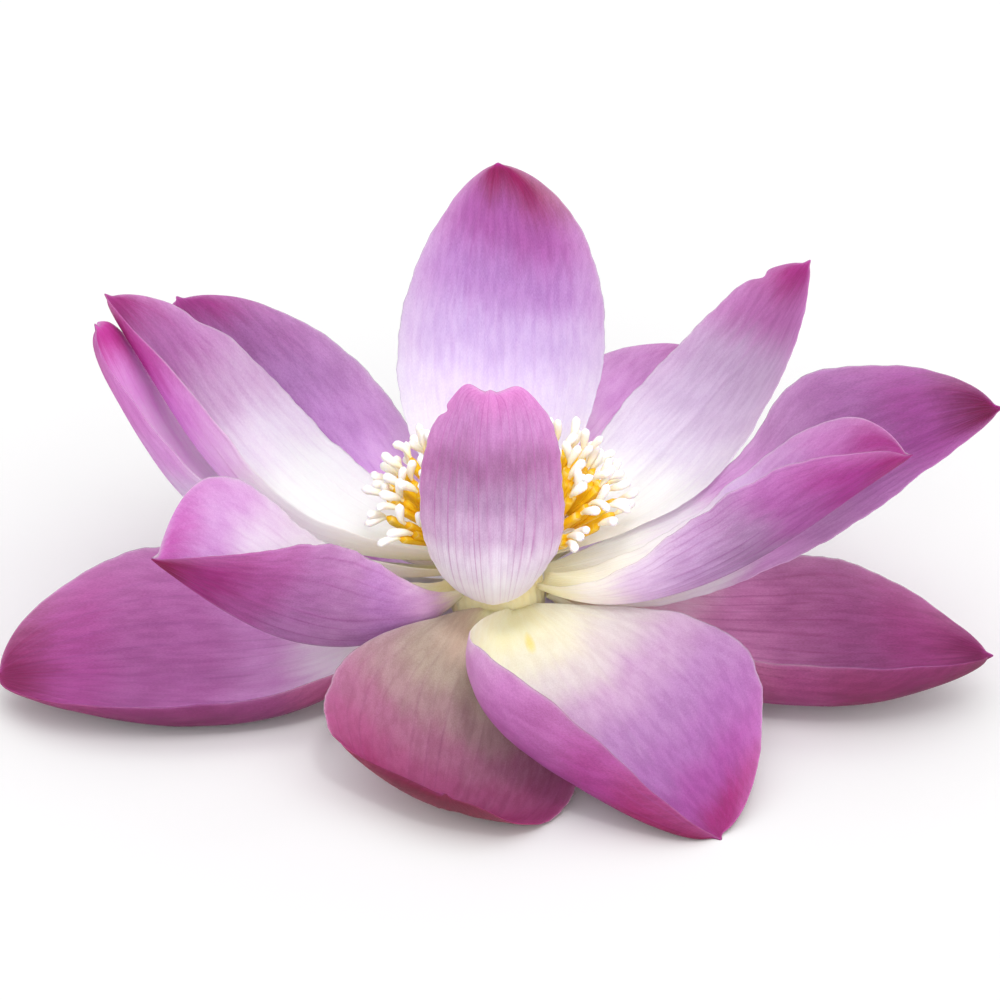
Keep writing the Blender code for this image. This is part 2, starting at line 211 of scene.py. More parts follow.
def along_midrib(s, petal):
    """The midrib's points and, at each, its direction, the inner face's normal and the right side."""
    def headings(t):
        azimuth = np.radians(petal["azimuth"] + through(petal["swerve"], t))
        rise = np.radians(through(petal["rise"], t))
        return azimuth, rise

    fine = np.linspace(0, 1, 201)
    azimuth, rise = headings(fine)
    step = np.stack([np.cos(rise) * np.cos(azimuth), np.cos(rise) * np.sin(azimuth), np.sin(rise)], 1)
    lengths = (step[1:] + step[:-1]) / 2 * petal["length"] / (len(fine) - 1)
    path = np.concatenate([np.zeros((1, 3)), np.cumsum(lengths, 0)])
    whorl = petal["whorl"]
    root = (whorl.radius * math.cos(azimuth[0]), whorl.radius * math.sin(azimuth[0]), whorl.height)
    points = np.stack([np.interp(s, fine, path[:, k]) + root[k] for k in range(3)], 1)

    azimuth, rise = headings(s)
    forward = np.stack([np.cos(rise) * np.cos(azimuth), np.cos(rise) * np.sin(azimuth), np.sin(rise)], 1)
    inner = np.stack([-np.sin(rise) * np.cos(azimuth), -np.sin(rise) * np.sin(azimuth), np.cos(rise)], 1)
    right = np.cross(forward, inner)
    roll = np.radians(through(petal["roll"], s))[:, None]
    rolled_right = right * np.cos(roll) + inner * np.sin(roll)
    rolled_inner = inner * np.cos(roll) - right * np.sin(roll)
    return points, forward, rolled_inner, rolled_right


def waves(t, rng, counts):
    """A smooth uneven wave of height about 1 along t, from a few sines."""
    total = np.zeros_like(t)
    for count in counts:
        total += np.sin(2 * math.pi * (count * t + rng.random())) * rng.uniform(0.5, 1.0) / len(counts)
    return total


def petal_surface(petal, s, across, rng):
    """The blade's middle surface: points (along, across, 3)."""
    midrib, forward, inner, right = along_midrib(s, petal)
    fold = np.radians(through(petal["fold"], s))
    width = half_width(s, petal)
    edge_fade = np.sin(np.clip(s, 0, 1) * math.pi) ** 0.5
    points = np.zeros((len(s), len(across), 3))
    for side, sign in (("left", -1), ("right", 1)):
        nibble = petal["nibble"] * waves(s, rng, (6, 11, 23)) * edge_fade
        for where, place, spread, depth in petal["dents"]:
            if where == side:
                nibble -= depth * np.exp(-((s - place) / spread) ** 2)
        ruffle = petal["ruffle"] * waves(s, rng, (2.5, 5, 8)) * edge_fade
        flat_share = petal["flat_" + side]
        share = width * through(petal[side + "_share"], s)
        sweep = through(petal["sweep_" + side], s)
        curl = np.radians(through(petal[side], s)) / (1 - flat_share)
        for k in np.flatnonzero(across * sign >= 0):
            place = abs(across[k])
            flat = min(place, flat_share)
            curled = place - flat
            half_turn = curl * curled / 2
            chord = curled * np.sinc(half_turn / math.pi)
            reach = share + nibble * place ** 4
            outward = reach * (flat * np.cos(fold) + chord * np.cos(fold + half_turn))
            upward = reach * (flat * np.sin(fold) + chord * np.sin(fold + half_turn))
            upward = upward + ruffle * place ** 3
            ahead = reach * sweep * place ** 2
            points[:, k] = (midrib + right * (sign * outward)[:, None] + inner * upward[:, None]
                            + forward * ahead[:, None])
    return points


def normals_of(points, inner_hint):
    """Unit normals of a grid, on the inner face's side."""
    along = np.gradient(points, axis=0)
    sideways = np.gradient(points, axis=1)
    normal = np.cross(sideways, along)
    length = np.linalg.norm(normal, axis=2, keepdims=True)
    normal = np.where(length > 1e-9, normal / np.maximum(length, 1e-9), inner_hint[:, None, :])
    return normal


def detailed_surface(petal, s, across, rng):
    """The middle surface with its swells, creases, midrib groove, lobes and the point at its tip."""
    middle = petal_surface(petal, s, across, rng)
    _, forward, inner, _ = along_midrib(s, petal)
    normal = normals_of(middle, inner)
    width = half_width(s, petal)[:, None]
    s_grid, a_grid = np.meshgrid(s, across, indexing="ij")
    edge_fade = np.sin(np.clip(s_grid, 0, 1) * math.pi)

    lift = petal["swell"] * edge_fade * waves(s_grid + 0.15 * a_grid, rng, (1.5, 3))
    lift = lift * waves(a_grid * 0.5 + 0.2 * s_grid, rng, (1, 2.5))
    for place, sideways, spread, side_spread, height in petal["creases"]:
        bump = ((s_grid - place) / spread) ** 2 + ((a_grid - sideways) / side_spread) ** 2
        lift = lift + height * np.exp(-bump)
    lift = lift - GROOVE_DEPTH * np.exp(-(a_grid * width / GROOVE_SPREAD) ** 2) * edge_fade
    middle = middle + normal * lift[..., None]

    near_tip = np.clip((s_grid - 0.8) / 0.15, 0, 1)
    for place, spread, height in petal["lobes"]:
        bulge = height * np.exp(-((a_grid * width - place) / spread) ** 2) * near_tip
        middle = middle + forward[-1] * bulge[..., None]
    from_tip = np.linalg.norm(middle - middle[-1:, len(across) // 2:len(across) // 2 + 1], axis=2)
    point = petal["mucro"] * np.exp(-(from_tip / MUCRO_SPREAD) ** 2)
    return middle + forward[-1] * point[..., None]


def petal_shell(shape, seed):
    """Vertices (mm), faces, material numbers and the blade coordinates of one petal's closed shell."""
    petal = {**PETAL_DEFAULTS, **shape}
    rng = np.random.default_rng(seed)
    s = np.sin(np.linspace(0, 1, STATIONS_ALONG + 1) * math.pi / 2)
    even = np.linspace(-1, 1, STATIONS_ACROSS + 1)
    across = 0.5 * even + 0.5 * np.sin(even * math.pi / 2)
    middle = detailed_surface(petal, s, across, rng)
    inner = along_midrib(s, petal)[2]
    width = half_width(s, petal)[:, None]
    s_grid, a_grid = np.meshgrid(s, across, indexing="ij")
    veins = np.cos(2 * math.pi * VEINS * a_grid) * np.sin(np.clip(s_grid, 0, 1) * math.pi)

    normal = normals_of(middle, inner)
    rounding = np.sqrt(np.clip(1 - a_grid ** 2, 0, 1))
    fleshy = (1 - a_grid ** 2) * (1 - 0.5 * s_grid)
    thickness = THICKNESS_AT_RIM + (THICKNESS_AT_MIDRIB - THICKNESS_AT_RIM) * fleshy
    thickness = thickness * np.clip(rounding * 4, 0, 1) * np.clip((1 - s_grid) * 60, 0, 1) ** 0.5
    top = middle + normal * (thickness / 2 - 0.03 * veins * rounding)[..., None]
    bottom = middle - normal * (thickness / 2 + 0.05 * veins * rounding)[..., None]

    rows = STATIONS_ALONG
    columns = STATIONS_ACROSS + 1
    tip = middle[-1, STATIONS_ACROSS // 2]
    vertices = [top[:rows].reshape(-1, 3), bottom[:rows, 1:-1].reshape(-1, 3), tip[None]]
    vertices = np.concatenate(vertices)
    first_bottom = rows * columns
    last = len(vertices) - 1

    def upper(i, j):
        return i * columns + j

    def lower(i, j):
        if j in (0, columns - 1):
            return upper(i, j)
        return first_bottom + i * (columns - 2) + j - 1

    faces = []
    kinds = []
    for i in range(rows - 1):
        for j in range(columns - 1):
            faces.append((upper(i, j), upper(i, j + 1), upper(i + 1, j + 1), upper(i + 1, j)))
            faces.append((lower(i, j), lower(i + 1, j), lower(i + 1, j + 1), lower(i, j + 1)))
            kinds += [0, 1]
    for j in range(columns - 1):
        faces.append((upper(rows - 1, j), upper(rows - 1, j + 1), last))
        faces.append((lower(rows - 1, j + 1), lower(rows - 1, j), last))
        kinds += [0, 1]
    for j in range(columns - 1):
        base = (upper(0, j + 1), upper(0, j), lower(0, j), lower(0, j + 1))
        faces.append(tuple(dict.fromkeys(base)))
        kinds.append(0)

    coordinates = np.stack([a_grid, s_grid, width * np.ones_like(a_grid) / 25.0], 2)
    blade = np.concatenate([
        coordinates[:rows].reshape(-1, 3), coordinates[:rows, 1:-1].reshape(-1, 3), [[0.0, 1.0, 0.0]]])
    return vertices, faces, kinds, blade


def add_mesh(name, vertices, faces, kinds, materials, attributes=()):
    """A smooth-shaded object from points in mm about the flower's axis."""
    mesh = bpy.data.meshes.new(name)
    mesh.from_pydata([tuple(p) for p in np.asarray(vertices) * MM + ORIGIN], [], faces)
    for attribute, values in attributes:
        values = np.asarray(values, np.float32)
        if values.ndim == 1:
            made = mesh.attributes.new(attribute, "FLOAT", "POINT")
            made.data.foreach_set("value", values)
        else:
            made = mesh.attributes.new(attribute, "FLOAT_VECTOR", "POINT")
            made.data.foreach_set("vector", values.ravel())
    for found in materials:
        mesh.materials.append(found)
    mesh.polygons.foreach_set("material_index", np.asarray(kinds, np.int32))
    mesh.shade_smooth()
    mesh.update()
    obj = bpy.data.objects.new(name, mesh)
    bpy.context.scene.collection.objects.link(obj)
    return obj


# ---------------------------------------------------------------------------------------------
# Materials


def colour(code):
    """A linear colour from a six-figure sRGB code."""
    parts = [int(code[k:k + 2], 16) / 255 for k in (0, 2, 4)]
    linear = [p / 12.92 if p <= 0.04045 else ((p + 0.055) / 1.055) ** 2.4 for p in parts]
    return (*linear, 1.0)


class Nodes:
    """Short ways to add and join shader nodes in one material."""

    def __init__(self, name):
        self.material = bpy.data.materials.new(name)
        self.material.use_nodes = True
        self.tree = self.material.node_tree
        self.shader = self.tree.nodes["Principled BSDF"]

    def add(self, kind, **settings):
        node = self.tree.nodes.new(kind)
        for key, value in settings.items():
            setattr(node, key, value)
        return node

    def join(self, source, socket):
        if isinstance(source, (int, float)):
            socket.default_value = source
        else:
            self.tree.links.new(source, socket)

    def math(self, operation, *inputs, clamp=False):
        node = self.add("ShaderNodeMath", operation=operation, use_clamp=clamp)
        for socket, source in zip(node.inputs, inputs):
            self.join(source, socket)
        return node.outputs[0]

    def attribute(self, name):
        return self.add("ShaderNodeAttribute", attribute_name=name)

    def split(self, vector):
        node = self.add("ShaderNodeSeparateXYZ")
        self.join(vector, node.inputs[0])
        return node.outputs

    def vector(self, x, y, z):
        node = self.add("ShaderNodeCombineXYZ")
        for socket, source in zip(node.inputs, (x, y, z)):
            self.join(source, socket)
        return node.outputs[0]

    def noise(self, vector, scale, detail=2.0, roughness=0.5):
        node = self.add("ShaderNodeTexNoise")
        self.join(vector, node.inputs["Vector"])
        node.inputs["Scale"].default_value = scale
        node.inputs["Detail"].default_value = detail
        node.inputs["Roughness"].default_value = roughness
        return node.outputs["Fac"]

    def ramp(self, value, stops, interpolation="EASE"):
        node = self.add("ShaderNodeValToRGB")
        node.color_ramp.interpolation = interpolation
        elements = node.color_ramp.elements
        while len(elements) < len(stops):
            elements.new(0.5)
        for element, (place, code) in zip(elements, stops):
            element.position = place
            element.color = colour(code)
        self.join(value, node.inputs[0])
        return node.outputs[0]

    def span(self, value, low, high, to_low=0.0, to_high=1.0):
        """value taken smoothly from low..high to to_low..to_high."""
        node = self.add("ShaderNodeMapRange", interpolation_type="SMOOTHSTEP")
        for socket, source in zip(node.inputs, (value, low, high, to_low, to_high)):
            self.join(source, socket)
        return node.outputs[0]

    def mix(self, share, first, second, blend="MIX"):
        node = self.add("ShaderNodeMix", data_type="RGBA", blend_type=blend)
        self.join(share, node.inputs[0])
        for socket, source in ((node.inputs[6], first), (node.inputs[7], second)):
            if isinstance(source, str):
                socket.default_value = colour(source)
            else:
                self.join(source, socket)
        return node.outputs[2]

    def bump(self, height, distance, strength=1.0):
        node = self.add("ShaderNodeBump")
        node.inputs["Strength"].default_value = strength
        node.inputs["Distance"].default_value = distance
        self.join(height, node.inputs["Height"])
        self.join(node.outputs[0], self.shader.inputs["Normal"])

    def set(self, **values):
        for key, value in values.items():
            self.shader.inputs[key.replace("_", " ")].default_value = value


Face = namedtuple("Face", "stops rim rim_share vein vein_share lean arch pollen")

POLLEN_COLOUR = "F0D060"
POLLEN_HALF_LENGTH = 0.045  # against the petal's length
POLLEN_HALF_WIDTH = 0.045  # against the distance from midrib to rim


def face(stops, rim="C977BE", rim_share=0.3, vein="A9559F", vein_share=0.15,
         lean=0.0, arch=0.0, pollen=None):
    """How one face of a petal is coloured: even stops from base to tip, its rim and its veins.

    The colour runs further towards the base by `lean` at the right rim, and by `arch` at both.
    `pollen` is the place of a dab of pollen, along the petal and across it.
    """
    codes = stops.split()
    places = [0.02 + 0.97 * k / (len(codes) - 1) for k in range(len(codes))]
    return Face(tuple(zip(places, codes)), rim, rim_share, vein, vein_share, lean, arch, pollen)


STREAKS_ACROSS = 16.0
FINE_STREAKS_ACROSS = 62.0
CELL_SCALE = 150.0
PATCH_SCALE = 14.0
CLOUD_SHIFT = 0.12  # how far the colour wanders along the petal, against its length
STREAK_SHIFT = 0.06


def petal_material(name, look, seed):
    """Living petal: colour runs from base to tip and out along the veins, over fine cells."""
    n = Nodes(name)
    across, along, size = n.split(n.attribute("blade").outputs["Vector"])
    lengthwise = n.vector(n.math("MULTIPLY", across, n.math("ADD", size, 0.15)), along, seed)
    streak_at = n.vector(
        n.math("MULTIPLY", across, STREAKS_ACROSS), n.math("MULTIPLY", along, 1.3), seed)
    fine_at = n.vector(
        n.math("MULTIPLY", across, FINE_STREAKS_ACROSS), n.math("MULTIPLY", along, 3.0), seed + 3.0)
    cloud = n.noise(lengthwise, 3.0, 3.0)
    streaks = n.noise(streak_at, 1.0, 4.0, 0.55)
    fine_streaks = n.noise(fine_at, 1.0, 2.0, 0.5)
    shifted = n.math("ADD", along, n.math("MULTIPLY", n.math("SUBTRACT", cloud, 0.5), CLOUD_SHIFT))
    shifted = n.math("ADD", shifted, n.math("MULTIPLY", n.math("SUBTRACT", streaks, 0.5), STREAK_SHIFT))
    leaning = n.math("MULTIPLY", across, look.lean)
    arching = n.math("MULTIPLY", n.math("MULTIPLY", across, across), look.arch)
    shifted = n.math("ADD", shifted, n.math("ADD", leaning, arching))
    base = n.ramp(shifted, look.stops)

    rim = n.span(n.math("ABSOLUTE", across), 0.55, 1.0)
    rim = n.math("MULTIPLY", rim, n.span(along, 0.25, 0.75, 0.0, look.rim_share))
    base = n.mix(rim, base, look.rim)

    # Main veins at uneven distances, some stronger than others, with finer ones between them.
    sway = n.noise(n.vector(n.math("MULTIPLY", across, 2.6), n.math("MULTIPLY", along, 1.1), seed), 1.0, 0.0)
    phase = n.math("MULTIPLY", n.math("ADD", across, n.math("MULTIPLY", sway, 0.34)), VEINS * math.pi)
    ridge = n.math("POWER", n.math("ABSOLUTE", n.math("COSINE", phase)), 22.0)
    line = n.math("MULTIPLY", ridge, n.span(streaks, 0.35, 0.7, 0.25, 1.2))
    centred = n.math("SUBTRACT", n.math("MULTIPLY", fine_streaks, 2.0), 1.0)
    thin = n.math("SUBTRACT", 1.0, n.math("ABSOLUTE", centred))
    thin = n.math("MULTIPLY", n.math("POWER", thin, 6.0), 0.35)
    veins = n.math("ADD", line, thin)
    strength = n.math("MULTIPLY", n.span(along, 0.12, 0.5, 0.1, 1.0), look.vein_share)
    shown = n.math("MULTIPLY", veins, strength, clamp=True)
    base = n.mix(shown, base, look.vein)

    if look.pollen:
        pollen_along, pollen_across = look.pollen
        up = n.math("DIVIDE", n.math("SUBTRACT", along, pollen_along), POLLEN_HALF_LENGTH)
        out = n.math("DIVIDE", n.math("SUBTRACT", across, pollen_across), POLLEN_HALF_WIDTH)
        away = n.math("ADD", n.math("MULTIPLY", up, up), n.math("MULTIPLY", out, out))
        away = n.math("ADD", away, n.math("MULTIPLY", fine_streaks, 0.6))
        base = n.mix(n.span(away, 0.2, 1.6, 0.7, 0.0), base, POLLEN_COLOUR)

    cells = n.noise(lengthwise, CELL_SCALE, 2.0, 0.6)
    patches = n.noise(lengthwise, PATCH_SCALE, 3.0, 0.6)
    base = n.mix(0.16, base, n.ramp(cells, ((0.32, "5A4A5A"), (0.68, "FFFFFF"))), "SOFT_LIGHT")
    base = n.mix(0.14, base, n.ramp(patches, ((0.35, "604C60"), (0.65, "FFFFFF"))), "SOFT_LIGHT")
    n.join(base, n.shader.inputs["Base Color"])

    n.join(n.span(cells, 0.2, 0.8, 0.46, 0.66), n.shader.inputs["Roughness"])
    relief = n.math("ADD", n.math("MULTIPLY", ridge, 0.4), n.math("MULTIPLY", cells, 0.4))
    relief = n.math("ADD", relief, n.math("MULTIPLY", fine_streaks, 0.5))
    n.bump(relief, 0.10 * MM, 0.6)
    n.set(Subsurface_Weight=0.75, Subsurface_Scale=2.5 * MM)
    n.shader.inputs["Subsurface Radius"].default_value = (1.0, 0.8, 0.9)
    n.shader.inputs["Specular IOR Level"].default_value = 0.25
    return n.material


def flesh_material(name, stops, seed, roughness=0.5, subsurface=0.3):
    """Plain plant tissue whose colour runs along the "along" attribute."""
    n = Nodes(name)
    along = n.attribute("along").outputs["Fac"]
    place = n.add("ShaderNodeTexCoord").outputs["Object"]
    grain = n.noise(place, 900.0, 3.0, 0.6)
    mottle = n.noise(place, 160.0 + seed, 2.0)
    shifted = n.math("ADD", along, n.math("MULTIPLY", n.math("SUBTRACT", mottle, 0.5), 0.3))
    base = n.ramp(shifted, stops)
    base = n.mix(0.15, base, n.ramp(grain, ((0.3, "5A5048"), (0.7, "FFFFFF"))), "SOFT_LIGHT")
    n.join(base, n.shader.inputs["Base Color"])
    n.join(n.span(grain, 0.2, 0.8, roughness - 0.08, roughness + 0.1), n.shader.inputs["Roughness"])
    n.bump(grain, 0.1 * MM, 0.5)
    n.set(Subsurface_Weight=subsurface, Subsurface_Scale=1.0 * MM)
    n.shader.inputs["Subsurface Radius"].default_value = (1.0, 0.8, 0.4)
    return n.material


# ---------------------------------------------------------------------------------------------
# Petals

PALE_INNER = face("F4EABC FAF6DE FBF9F6 F0E2F2 DDB6E0 C886C4 B45AA2 941E6A")
PLAIN_OUTER = face("F0E8C4 F4EFE6 E9D5E8 D6A8D4 C27FBC B65CA4 9C3180 820C54", "BE5FAC", 0.2, "8E3278", 0.3)

# Inner and outer face of each petal. About two thirds of the colour stops are as a scratch script
# printed them, from median colours of the photo and of a render in bands along each petal. They are
# fitted data and not a design, and should be chosen again by hand.
LOOKS = {
    "petal_back": (
        # Inner face: `lean` runs the colour further down the right side, so that side is darker. This is
        # painted shade on the side turned from the light.
        face("F1E7B8 F4F0F7 EAE0F4 DDCDF1 C4ADD9 AE83BD A0589E 820848", "E2C0E6", 0.2, "A765B4", 0.08,
             lean=0.05),
        PLAIN_OUTER),
    "petal_left_inner": (
        face("FFF2BC FFF9E8 FCFAFA FCFAFC E8D8F0 C3A1C5 AA6CA5 972876", "E0A8DE", 0.3, "A765B4", 0.10),
        face("FFF8E0 FFFAF0 FCFAFC FCF8FC ECCCF2 D198D2 AB4390 8D105D", "D070BC", 0.3, "9C5090", 0.25)),
    "petal_left_under": (
        face("F0E4A8 F8F2D8 FCF4FC FCE8FC FCD8FC FCC8FA FAB0F4 C03C98", "F4A8EC", 0.3, "C060B0", 0.10),
        face("EFE6C0 F3EDE6 E8D8EB DCC7E3 D3C5E1 CA92CC B965AF 9B277A", "D890D4", 0.3, "9C5090", 0.20)),
    "petal_left_folded": (
        face("F0E4A8 F8F7DD FCFAFC FCFAFC FAF4FC F3DFF7 D3A2D6 BD62AD", "CC84C8", 0.45, "B070B4", 0.14),
        # Outer face: its mauve is partly its own colour and partly painted shade on a wall that faces down
        # and away from the light.
        face("F7F4C6 D0A6D3 AD7DB4 A375A2 986395 934784 882069 730034", "B874B0", 0.3, "84387C", 0.42)),
    "petal_back_left": (
        # Inner face: a duller, darker purple than the other inner faces. This is painted shade, since the
        # petal lies behind the left petals.
        face("EFE3A8 F0DCD7 EACFEE DBADE9 B589C0 9D72A6 915C93 8C2976", "C68CC8", 0.2, "96509A", 0.12),
        PLAIN_OUTER),
    "petal_front_inner": (
        PALE_INNER,
        # Outer face: pinker and lighter again at its top edge than in the grey-mauve band below. The pink is
        # its own colour; the lightness at the top is painted light where the edge bends back towards the
        # light.
        face("F8F4CC F8F5EC F8F6F8 F6F3F6 DDD3E1 BCA5C0 A285A5 92668D AE7CAC C078B2",
             "B868AC", 0.32, "A24E94", 0.42)),
    "petal_right_inner": (
        face("FDF2BC FBF8EE F6F4F7 DCD0E6 C3B0CC B29BB9 A3649C 982778", "C88CC8", 0.25, "A765B4", 0.08),
        PLAIN_OUTER),
    "petal_back_right": (
        face("F0E4A8 F8F4DA F7F0F7 F5DFF4 EDC1ED D29ED5 B784B8 A86EA2", "CC90CC", 0.2), PLAIN_OUTER),
    "petal_rear_right": (
        face("F4E8B0 FAF4DC FBF8F4 F8F2F6 F2E4F2 E4C8E4 CC94CC A8489C"), PLAIN_OUTER),
    "petal_right_long": (
        face("FFF4CC FCF8EC F3E6F7 CA93CA A074A2 935C94 8E3F86 630033", "B070B0", 0.2, "8A4A8E", 0.2),
        PLAIN_OUTER),
    "petal_right_folded": (
        face("FFF4C8 FCF7E6 F6F3F7 ECDEF5 CBAADD B686BA B66DAD 9F2F83", "E0A8DC", 0.3, "A860A8", 0.12),
        # Outer face: its mauve is partly its own colour and partly painted shade on a wall that faces down
        # and away from the light.
        face("F7F3C6 F5F1E8 D7C2DF B99DC0 9F7FA2 9F5998 973182 911E6B", "C884C4", 0.3, "8A4088", 0.34)),
    "petal_right_lower": (
        # Inner face: darker and duller than the upper petals' inner faces. This is painted shade, as it lies
        # low under the petals above it.
        face("F5E6C2 F7DCCE F2C1D5 D18EBB A96896 934F81 933D79 70164B", "A86494", 0.2, "84386C", 0.34),
        # Outer face: the dark tip is partly its own colour and partly painted shade on a face that turns
        # down from the light.
        face("EFE6C0 EEE4DF CEA3BC A45D82 863668 6C1A46 660F42 600433", "9C4C80", 0.2, "702850", 0.3)),
    "petal_front_right": (
        face("F6ECC3 E8E0CA D6C8CB C39EC1 B282B6 AB6FAE A6529E 9E2C75", "C07CC0", 0.2, "9C58A0", 0.12,
             lean=-0.14, pollen=(0.145, 0.215)),
        # Outer face: the dark tip is partly its own colour and partly painted shade on a face that turns
        # down from the light.
        face("EEE7BE D5AFC9 B782B2 A969A3 9B5691 8C2A74 80044A 700036", "B868A8", 0.2, "8C3A80", 0.25)),
    "petal_front_left": (
        # Inner face: the grey-brown band above the cream base is painted shade where the petal lies low in
        # the flower.
        face("F7F0C4 CDB8A6 AE9F90 A88A8C A56A86 A1527B 963869 882154", "9C5484", 0.25, "84406C", 0.22,
             lean=0.06, arch=0.16),
        face("EFE6C0 F0E7E1 DCB8CC C488A8 A75F7D 8B4058 75293B 661931", "7A3050", 0.2, "602038", 0.3)),
    "petal_left_lower": (
        face("F7EDC1 F7EFE5 F7DFF7 D093CC B46BA9 A95F9C A74E93 7E1A50", "B874AC", 0.2, "8C4A8A", 0.26),
        # Outer face: the dark tip is partly its own colour and partly painted shade on a face that turns
        # down from the light.
        face("D0AB9E B57790 94486F 6E2C58 601C46 641848 721A4E 7A0E4A", "904878", 0.2, "642C50", 0.3)),
}


def dress(obj, node):
    """Hand a finished piece to the frame, in place of the part's node."""
    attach(obj, "root")
    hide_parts(node)


for number, (node, shape) in enumerate(PETALS.items()):
    vertices, faces, kinds, blade = petal_shell(shape, number + 1)
    inner_look, outer_look = LOOKS.get(node, (PALE_INNER, PLAIN_OUTER))
    materials = [
        petal_material(f"{node}_inner_face", inner_look, number * 7.3 + 1.0),
        petal_material(f"{node}_outer_face", outer_look, number * 7.3 + 4.0)]
    petal_obj = add_mesh(f"lotus_{node}", vertices, faces, kinds, materials, [("blade", blade)])
    dress(petal_obj, node)


# ---------------------------------------------------------------------------------------------
# Stamens: a filament, a ridged anther and a white curved club at its end

TUFTS = 6
TUFT_GAP_ANGLE = 3.0
STAMENS_IN_TUFT = 23
STAMEN_SIDES = 12
FOOT_MIDDLE = (9.3, 34.6)  # radius and height
FOOT_HALF_SIZE = (0.95, 0.55)
FOOT_STEPS = 40
LEAST_LEAN = 12.0
MOST_LEAN = 64.0
CLUB_SHAPE = ((0.0, 0.36), (0.1, 0.4), (0.28, 0.7), (0.55, 0.92), (0.8, 1.0), (0.93, 0.78), (1.0, 0.14))


def tube(path, widths, depths, ridges, hint):
    """A closed tube along path, with four lengthwise ridges: points in rings, then both ends."""
    ahead = np.gradient(path, axis=0)
    ahead = ahead / np.linalg.norm(ahead, axis=1, keepdims=True)
    side = hint - ahead * (ahead @ hint)[:, None]
    side = side / np.linalg.norm(side, axis=1, keepdims=True)
    other = np.cross(ahead, side)
    turn = np.arange(STAMEN_SIDES) * 2 * math.pi / STAMEN_SIDES
    swell = 1 + ridges[:, None] * np.cos(4 * turn)
    wide = (widths[:, None] * swell * np.cos(turn))[..., None] * side[:, None]
    deep = (depths[:, None] * swell * np.sin(turn))[..., None] * other[:, None]
    rings = path[:, None] + wide + deep
    points = np.concatenate([rings.reshape(-1, 3), path[:1], path[-1:]])
    faces = []
    count = len(path)
    for i in range(count - 1):
        for j in range(STAMEN_SIDES):
            after = (j + 1) % STAMEN_SIDES
            low = i * STAMEN_SIDES
            high = low + STAMEN_SIDES
            faces.append((low + j, low + after, high + after, high + j))
    start = count * STAMEN_SIDES
    top = start - STAMEN_SIDES
    for j in range(STAMEN_SIDES):
        after = (j + 1) % STAMEN_SIDES
        faces.append((start, after, j))
        faces.append((start + 1, top + j, top + after))
    return points, faces


def stamen(azimuth, foot_radius, lean, rng):
    """Points, faces, material numbers and colour places of one stamen."""
    filament = rng.uniform(9.0, 11.5) + 4.0 * (1 - lean / MOST_LEAN)
    anther = rng.uniform(8.5, 11.0)
    club = rng.uniform(4.8, 6.6)
    joints = np.array([0, filament, filament + anther, filament + anther + club])
    pieces = ((0.0, joints[1], 8), (joints[1], joints[2], 10), (joints[2], joints[3], 10))
    lengths = [np.linspace(a, b, count, endpoint=False) for a, b, count in pieces]
    lengths = np.concatenate(lengths + [joints[3:]])
    bend = rng.uniform(-70, 75)
    leans = (lean * 0.4, lean * 1.1, lean + rng.uniform(-14, 6), lean + bend * 0.5, lean + bend)
    turns = (0, rng.uniform(-8, 8), rng.uniform(-14, 14), rng.uniform(-40, 40), rng.uniform(-70, 70))
    knots = (0, joints[1], joints[2], joints[2] + club * 0.3, joints[3])
    lean_at = np.radians(np.interp(lengths, knots, leans))
    turn_at = np.radians(azimuth + np.interp(lengths, knots, turns))
    outward = np.sin(lean_at)
    heading = np.stack([outward * np.cos(turn_at), outward * np.sin(turn_at), np.cos(lean_at)], 1)
    steps = (heading[1:] + heading[:-1]) / 2 * np.diff(lengths)[:, None]
    around = math.radians(azimuth)
    root = np.array([foot_radius * math.cos(around), foot_radius * math.sin(around), FOOT_MIDDLE[1]])
    path = root + np.concatenate([np.zeros((1, 3)), np.cumsum(steps, 0)])

    in_anther = np.clip((lengths - joints[1]) / anther, 0, 1)
    in_club = np.clip((lengths - joints[2]) / club, 0, 1)
    thick = rng.uniform(0.9, 1.1)
    widths = 0.42 - 0.08 * np.clip(lengths / filament, 0, 1)
    body = np.clip(in_anther * 9, 0, 1) * np.clip((1 - in_anther) * 9, 0, 1)
    widths = widths + 0.68 * thick * np.sqrt(body)
    club_places, club_widths = zip(*CLUB_SHAPE)
    is_club = lengths >= joints[2]
    widths = np.where(is_club, np.interp(in_club, club_places, club_widths) * thick, widths)
    depths = widths * np.where(body > 0, 0.8, 1.0)
    ridges = 0.16 * body + 0.03
    hint = np.array([-math.sin(around), math.cos(around), 0.25])
    points, faces = tube(path, widths, depths, ridges, hint)

    kind_of_ring = np.where(lengths < joints[1], 0, np.where(lengths < joints[2], 1, 2))
    kinds = [int(k) for k in kind_of_ring[:-1] for _ in range(STAMEN_SIDES)]
    kinds += [0, 2] * STAMEN_SIDES
    places = np.where(is_club, in_club, np.where(in_anther > 0, in_anther, lengths / filament))
    places = np.concatenate([np.repeat(places, STAMEN_SIDES), places[:1], places[-1:]])
    return points, faces, kinds, places


def tuft_foot(first, last):
    """The low ridge that a tuft of stamens grows from."""
    turns = np.radians(np.linspace(first, last, FOOT_STEPS))
    steps = np.arange(FOOT_STEPS)
    ends = np.clip(np.minimum(steps, FOOT_STEPS - 1 - steps) / 3, 0.15, 1) ** 0.5
    knobs = 1 + 0.06 * np.sin(steps * 1.9)
    radius, height = FOOT_MIDDLE
    path = np.stack([radius * np.cos(turns), radius * np.sin(turns), np.full(FOOT_STEPS, height)], 1)
    upright = np.array([0.0, 0.0, 1.0])
    widths = FOOT_HALF_SIZE[1] * ends * knobs
    points, faces = tube(path, widths, FOOT_HALF_SIZE[0] * ends, np.zeros(FOOT_STEPS), upright)
    return points, faces, [0] * len(faces), np.zeros(len(points))


